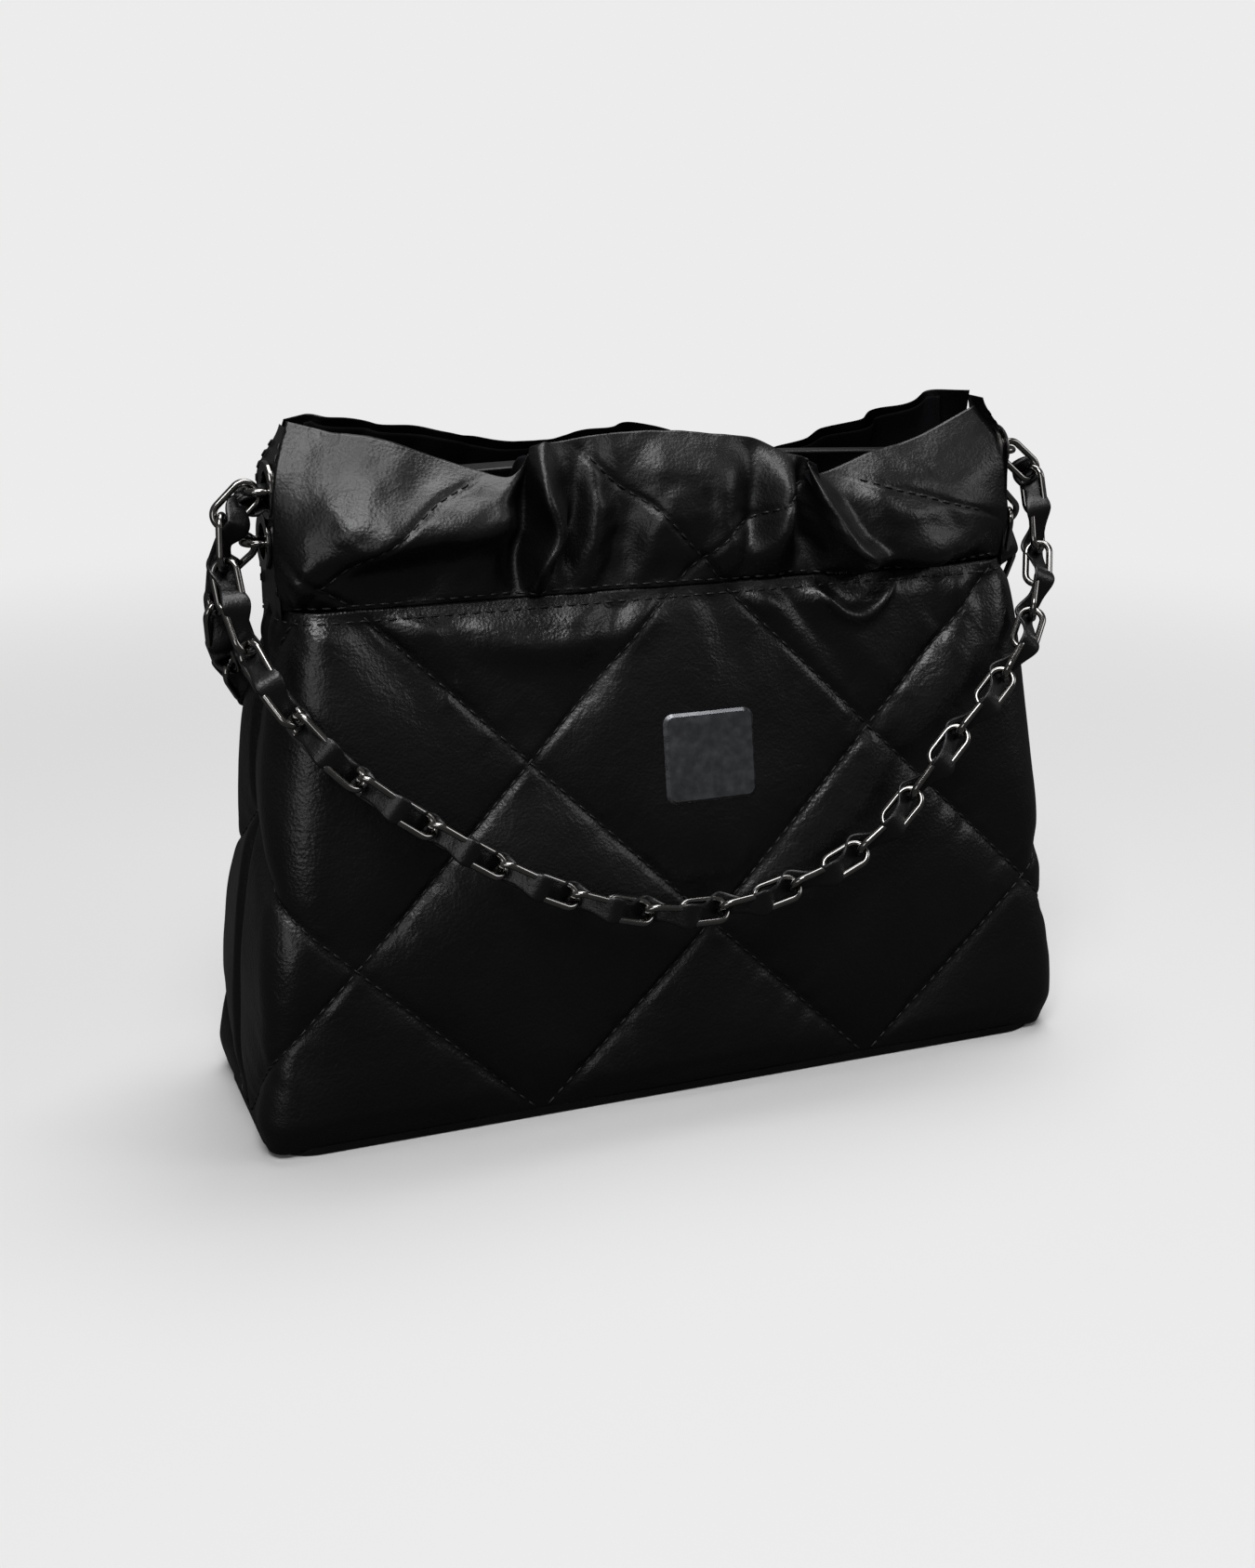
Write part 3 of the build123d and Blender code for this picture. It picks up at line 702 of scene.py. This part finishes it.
def stitch_run(points, normals):
    """Corners and faces of stitches along a line: each is a short thread that dips in at both ends."""
    size = sizes()
    steps = np.linalg.norm(np.diff(points, axis=0), axis=1)
    length = np.concatenate([[0], np.cumsum(steps)])
    pitch, long, thick = (value / METRE for value in (size.stitch_pitch, size.stitch_length, size.thread))
    middles = np.arange(pitch / 2, length[-1], pitch)
    if len(middles) < 2:
        return np.zeros((0, 3)), np.zeros((0, 4), int)
    rings = []
    for part, width, rise in ((-0.5, 0.35, -0.25), (-0.3, 1.0, 0.12), (0.3, 1.0, 0.12), (0.5, 0.35, -0.25)):
        at = np.clip(middles + part * long, 0, length[-1])
        place = np.stack([np.interp(at, length, points[:, k]) for k in range(3)], axis=1)
        out = unit(np.stack([np.interp(at, length, normals[:, k]) for k in range(3)], axis=1))
        ahead = unit(np.stack([np.interp(at + 0.5, length, points[:, k]) -
                               np.interp(at - 0.5, length, points[:, k]) for k in range(3)], axis=1))
        side = unit(np.cross(ahead, out))
        turn = np.linspace(0, 2 * np.pi, 5, endpoint=False)
        radius = thick * 0.62 * width
        ring = (place + out * rise)[:, None, :]
        ring = ring + side[:, None, :] * (np.cos(turn) * radius)[None, :, None]
        rings.append(ring + out[:, None, :] * (np.sin(turn) * radius)[None, :, None])
    corners = np.stack(rings, axis=1).reshape(-1, 3)
    one = ring_faces(4, 5)
    faces = one[None, :, :] + (np.arange(len(middles)) * 20)[:, None, None]
    return corners, faces.reshape(-1, 4)


def join_runs(runs):
    """One set of points and faces from several."""
    points, faces, start = [], [], 0
    for corners, quads in runs:
        points.append(corners)
        faces.append(quads + start)
        start += len(corners)
    return np.concatenate(points), np.concatenate(faces)


def quilt_paths(low, high, reach):
    """The quilting's slanting lines between two heights, as (along, height) arrays inside the reach."""
    size = sizes()
    across, up = size.quilt_across / METRE, size.quilt_up / METRE
    height = np.linspace(low, high, 260)
    for order in range(-4, 6):
        for slant in (-1, 1):
            along = GRID_X + across * (order - slant * (height - GRID_Z) / up)
            inside = np.abs(along) < reach(height)
            if inside.sum() > 8:
                yield along[inside], height[inside]


class BAG_OT_stitching(bpy.types.Operator):
    """Sew the quilting, the cinch and the side seams"""

    bl_idname = "bag.stitching"
    bl_label = "Stitching"

    def execute(self, context):
        thread = material("polyester thread")
        for name, side in (("front", -1), ("back", 1)):
            runs = []
            height, fraction = body_grid(146, 320)
            points, along = body_surface(height, fraction, side)
            normals = grid_normals(points) * (-1 if side > 0 else 1)
            rows, heights, half = np.arange(146), height[:, 0], along[:, -1]

            def reach(at):
                return np.interp(at, heights, half) - 3

            def sew(path_along, path_height):
                row = np.interp(path_height, heights, rows)
                column = (path_along / np.interp(path_height, heights, half) + 1) / 2 * 319
                runs.append(stitch_run(sample(points, row, column), sample(normals, row, column)))

            for path in quilt_paths(2.5, CINCH - 2, reach):
                sew(*path)
            sew(np.linspace(-120, 120, 600) * 0.985, np.full(600, CINCH - 3.0))
            points, normals, start, level = ruffle_surface(side, 96, 420)
            begin, rise = start[0], level[:, 0]
            rows, columns = np.arange(96), np.arange(420)
            order = np.argsort(begin)
            for path_along, path_height in quilt_paths(CINCH + 1.5, CINCH + 43, lambda at: 100 + 0 * at):
                column = np.interp(path_along, begin[order], columns[order])
                row = np.interp(path_height, rise, rows)
                runs.append(stitch_run(sample(points, row, column), sample(normals, row, column)))
            across = np.linspace(5, 414, 900)
            for level_row in (2.5,):
                row = np.full(900, level_row)
                runs.append(stitch_run(sample(points, row, across), sample(normals, row, across)))
            piece = add_mesh(f"{name}_stitches", *join_runs(runs), thread)
        runs = []
        for turn in (-1, 1):
            for edge in (-1, 1):
                z = np.linspace(CINCH + 3, EAR_PEAK - 6, 90)
                half = GUSSET_HALF - 1.6 - 8.0 * ramp((z - CINCH) / 49, 0.6, 1.0) ** 1.4
                x = SIDE_FACE + 0.1 - 5.6 * ramp((z - CINCH + 3) / 50, 0.72, 1.05)
                line = np.stack([turn * x, edge * half, z], axis=1)
                clear = np.all([np.hypot(line[:, 1] - y, z - h) > 8.6 for y, h in EYELETS], axis=0)
                runs.append(stitch_run(line[clear], np.tile([float(turn), 0, 0], (int(clear.sum()), 1))))
        piece = add_mesh("gusset_stitches", *join_runs(runs), thread)
        return {"FINISHED"}


# ---- chain, strip and metal ----
LINKS = 37


def link_frames(side):
    """Each link's middle and the direction square to its ring, read from the chain's own mesh."""
    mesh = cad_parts[f"{side}_chain_links"].data
    points = np.empty(len(mesh.vertices) * 3)
    mesh.vertices.foreach_get("co", points)
    world = np.array(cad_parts[f"{side}_chain_links"].matrix_world)
    points = points.reshape(-1, 3) @ world[:3, :3].T + world[:3, 3]
    links = points.reshape(LINKS, -1, 3) / METRE
    middles = links.mean(axis=1)
    flat = np.stack([np.linalg.svd(link - link.mean(axis=0), full_matrices=False)[2][2]
                     for link in links])
    return middles, flat


class BAG_OT_chain(bpy.types.Operator):
    """Weave the leather strips through the chains, and finish the metal parts"""

    bl_idname = "bag.chain"
    bl_label = "Chain, strip and metal"

    def execute(self, context):
        for side, facing in (("front", (0.1, -1.0, 0.25)), ("back", (0.1, 1.0, 0.25))):
            middles, flat = link_frames(side)
            joints = (middles[1:] + middles[:-1]) / 2
            along = unit(middles[1:] - middles[:-1])
            one = flat[1:] * np.sign(np.sum(flat[1:] * facing, axis=1))[:, None]
            two = flat[:-1] * np.sign(np.sum(flat[:-1] * facing, axis=1))[:, None]
            out = unit(one + two)
            out = unit(out - along * np.sum(out * along, axis=1)[:, None])
            sign = np.where(np.arange(LINKS - 1) % 2, -1.0, 1.0)[:, None]
            pressed = joints + out * sign * 3.4
            knots = np.zeros((2 * LINKS - 1, 3))
            knots[0::2], knots[1::2] = middles, pressed
            face = np.zeros_like(knots)
            face[1::2] = out
            face[2:-1:2] = unit(out[1:] + out[:-1])
            face[0], face[-1] = out[0], out[-1]
            wide = np.where(np.arange(len(knots)) % 2, 1.0, 0.68)
            at = np.linspace(0, len(knots) - 1, 9 * len(knots))
            line = spline(np.arange(len(knots)), knots, at)
            face = unit(spline(np.arange(len(knots)), face, at))
            wide = spline(np.arange(len(knots)), wide, at)
            ahead = unit(np.gradient(line, axis=0))
            across = unit(np.cross(ahead, face))
            up = np.cross(across, ahead)
            turn = np.linspace(0, 2 * np.pi, 16, endpoint=False)
            half = sizes().strip_width / METRE / 2
            section = np.stack([np.sign(np.cos(turn)) * np.abs(np.cos(turn)) ** 0.6 * half,
                                np.sign(np.sin(turn)) * np.abs(np.sin(turn)) ** 0.7 * 0.75], axis=1)
            section[:, 1] += 0.35 * (section[:, 0] / half) ** 2
            rings = tube_rings(line, across * wide[:, None], up, section)
            count = len(line)
            caps = np.stack([line[0], line[-1]])
            points = np.concatenate([rings.reshape(-1, 3), caps])
            faces = ring_faces(count, 16)
            step = np.arange(0, 16, 2)
            first = np.stack([np.full(8, count * 16), (step + 2) % 16, step + 1, step], axis=1)
            last = (count - 1) * 16
            second = np.stack([np.full(8, count * 16 + 1), last + step, last + step + 1,
                               last + (step + 2) % 16], axis=1)
            piece = add_mesh(f"{side}_woven_strip", points, np.concatenate([faces, first, second]),
                             material("strip leather"), body=f"{side}_handle", slot="strip_leather")
            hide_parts(f"{side}_chain_strip")
        finishes = {
            "front_chain_links": "polished gunmetal", "back_chain_links": "polished gunmetal",
            "front_stop_rings": "polished gunmetal", "back_stop_rings": "polished gunmetal",
            "left_eyelets": "polished gunmetal", "right_eyelets": "polished gunmetal",
            "left_eyelet_washers": "satin gunmetal", "right_eyelet_washers": "satin gunmetal",
            "badge": "dark gunmetal", "badge_backing": "satin gunmetal",
            "snap_stud_half": "satin gunmetal", "snap_socket_half": "satin gunmetal",
            "snap_washers": "satin gunmetal", "base_panel": "plain coated leather",
            "base_board": "pressed board", "base_lining": "woven lining",
        }
        for name, finish in finishes.items():
            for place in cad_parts[name].material_slots:
                place.material = material(finish)
        return {"FINISHED"}


# ---- stage, lights and camera ----
BACKDROP = srgb(0xECECEC)


class BAG_OT_stage(bpy.types.Operator):
    """Set the pale floor, the soft lights and the camera"""

    bl_idname = "bag.stage"
    bl_label = "Stage"

    def execute(self, context):
        scene = context.scene
        scene.view_settings.view_transform = "Standard"
        floor_paint, tree, output = new_material("matt studio floor")
        # Painted floor near the bag, which melts into the backdrop's even tone further off.
        place = node(tree, "ShaderNodeTexCoord").outputs["Object"]
        away = node(tree, "ShaderNodeVectorMath", {0: place}, operation="LENGTH")
        fade = node(tree, "ShaderNodeMapRange", {"Value": away.outputs["Value"], "From Min": 0.28,
                                                 "From Max": 0.85}, interpolation_type="SMOOTHSTEP")
        paint = node(tree, "ShaderNodeBsdfDiffuse", {"Color": (0.76, 0.76, 0.76, 1.0)})
        dim = node(tree, "ShaderNodeBsdfDiffuse", {"Color": (0.06, 0.06, 0.06, 1.0)})
        seen = node(tree, "ShaderNodeLightPath").outputs["Is Camera Ray"]
        glow = node(tree, "ShaderNodeEmission", {"Color": (*BACKDROP, 1.0), "Strength": 1.0})
        mixed = node(tree, "ShaderNodeMixShader", {0: fade.outputs["Result"], 1: paint.outputs["BSDF"],
                                                   2: glow.outputs["Emission"]})
        shown = node(tree, "ShaderNodeMixShader", {0: seen, 1: dim.outputs["BSDF"],
                                                   2: mixed.outputs["Shader"]})
        tree.links.new(shown.outputs["Shader"], output.inputs["Surface"])
        corners = np.array([(-4000, -4000, -0.3), (4000, -4000, -0.3), (4000, 4000, -0.3),
                            (-4000, 4000, -0.3)])
        mesh = bpy.data.meshes.new("studio_floor")
        mesh.from_pydata((corners * METRE).tolist(), [], [(0, 1, 2, 3)])
        floor = bpy.data.objects.new("studio_floor", mesh)
        scene.collection.objects.link(floor)
        mesh.materials.append(floor_paint)

        world = bpy.data.worlds.new("studio_room")
        scene.world = world
        world.use_nodes = True
        tree = world.node_tree
        tree.nodes.clear()
        seen = node(tree, "ShaderNodeLightPath").outputs["Is Camera Ray"]
        plain = node(tree, "ShaderNodeBackground", {"Color": (*BACKDROP, 1.0), "Strength": 1.0})
        room = node(tree, "ShaderNodeBackground", {"Color": (1.0, 1.0, 1.0, 1.0), "Strength": 0.1})
        both = node(tree, "ShaderNodeMixShader", {0: seen, 1: room.outputs["Background"],
                                                  2: plain.outputs["Background"]})
        sky = node(tree, "ShaderNodeOutputWorld", {"Surface": both.outputs["Shader"]})
        sky.is_active_output = True

        aim = Vector((0.0, 0.0, 0.10))
        for name, spot, size, power in (
            ("key_softbox", (-0.35, -0.75, 1.45), 0.7, 14.0),
            ("top_softbox", (0.25, 0.25, 1.6), 0.9, 14.0),
            ("right_fill", (1.3, -0.7, 0.9), 0.6, 3.0),
            ("front_fill", (-1.1, -1.3, 0.55), 0.8, 3.5),
        ):
            light = bpy.data.lights.new(name, "AREA")
            light.shape = "SQUARE"
            light.size = size
            light.energy = power
            lamp = bpy.data.objects.new(name, light)
            scene.collection.objects.link(lamp)
            lamp.location = spot
            lamp.rotation_euler = (aim - Vector(spot)).to_track_quat("-Z", "Y").to_euler()

        lens = bpy.data.cameras.new("studio_camera")
        lens.lens, lens.sensor_height, lens.sensor_fit = 44.8, 36.0, "VERTICAL"
        camera = bpy.data.objects.new("studio_camera", lens)
        scene.collection.objects.link(camera)
        yaw, pitch, roll = np.radians((21.9, 18.2, 0.5))
        forward = np.array([np.sin(yaw) * np.cos(pitch), np.cos(yaw) * np.cos(pitch), -np.sin(pitch)])
        right = np.array([np.cos(yaw), -np.sin(yaw), 0.0])
        above = np.cross(right, forward)
        right, above = (right * np.cos(roll) + above * np.sin(roll),
                        above * np.cos(roll) - right * np.sin(roll))
        matrix = np.eye(4)
        matrix[:3, 0], matrix[:3, 1], matrix[:3, 2] = right, above, -forward
        matrix[:3, 3] = (-0.2136, -0.515, 0.2688)
        camera.matrix_world = Matrix(matrix.tolist())
        scene.camera = camera
        return {"FINISHED"}


class BAG_PT_panel(bpy.types.Panel):
    """The bag's buttons and sizes"""

    bl_label = "Quilted Bucket Bag"
    bl_space_type = "VIEW_3D"
    bl_region_type = "UI"
    bl_category = "Bag"

    def draw(self, context):
        column = self.layout.column()
        for group in (context.scene.bag_sizes, context.scene.bag_colours):
            for name in group.__annotations__:
                column.prop(group, name)
        for operator in OPERATORS:
            column.operator(operator.bl_idname)


OPERATORS = (BAG_OT_quilted_body, BAG_OT_ruffle, BAG_OT_linings, BAG_OT_stitching, BAG_OT_chain,
             BAG_OT_stage)
CLASSES = (BagSizes, BagColours, *OPERATORS, BAG_PT_panel)


def register():
    for made in CLASSES:
        bpy.utils.register_class(made)
    bpy.types.Scene.bag_sizes = bpy.props.PointerProperty(type=BagSizes)
    bpy.types.Scene.bag_colours = bpy.props.PointerProperty(type=BagColours)


def unregister():
    del bpy.types.Scene.bag_colours
    del bpy.types.Scene.bag_sizes
    for made in reversed(CLASSES):
        bpy.utils.unregister_class(made)


def main():
    register()
    bpy.ops.bag.quilted_body()
    bpy.ops.bag.ruffle()
    bpy.ops.bag.linings()
    bpy.ops.bag.stitching()
    bpy.ops.bag.chain()
    bpy.ops.bag.stage()


if __name__ == "__main__":
    main()
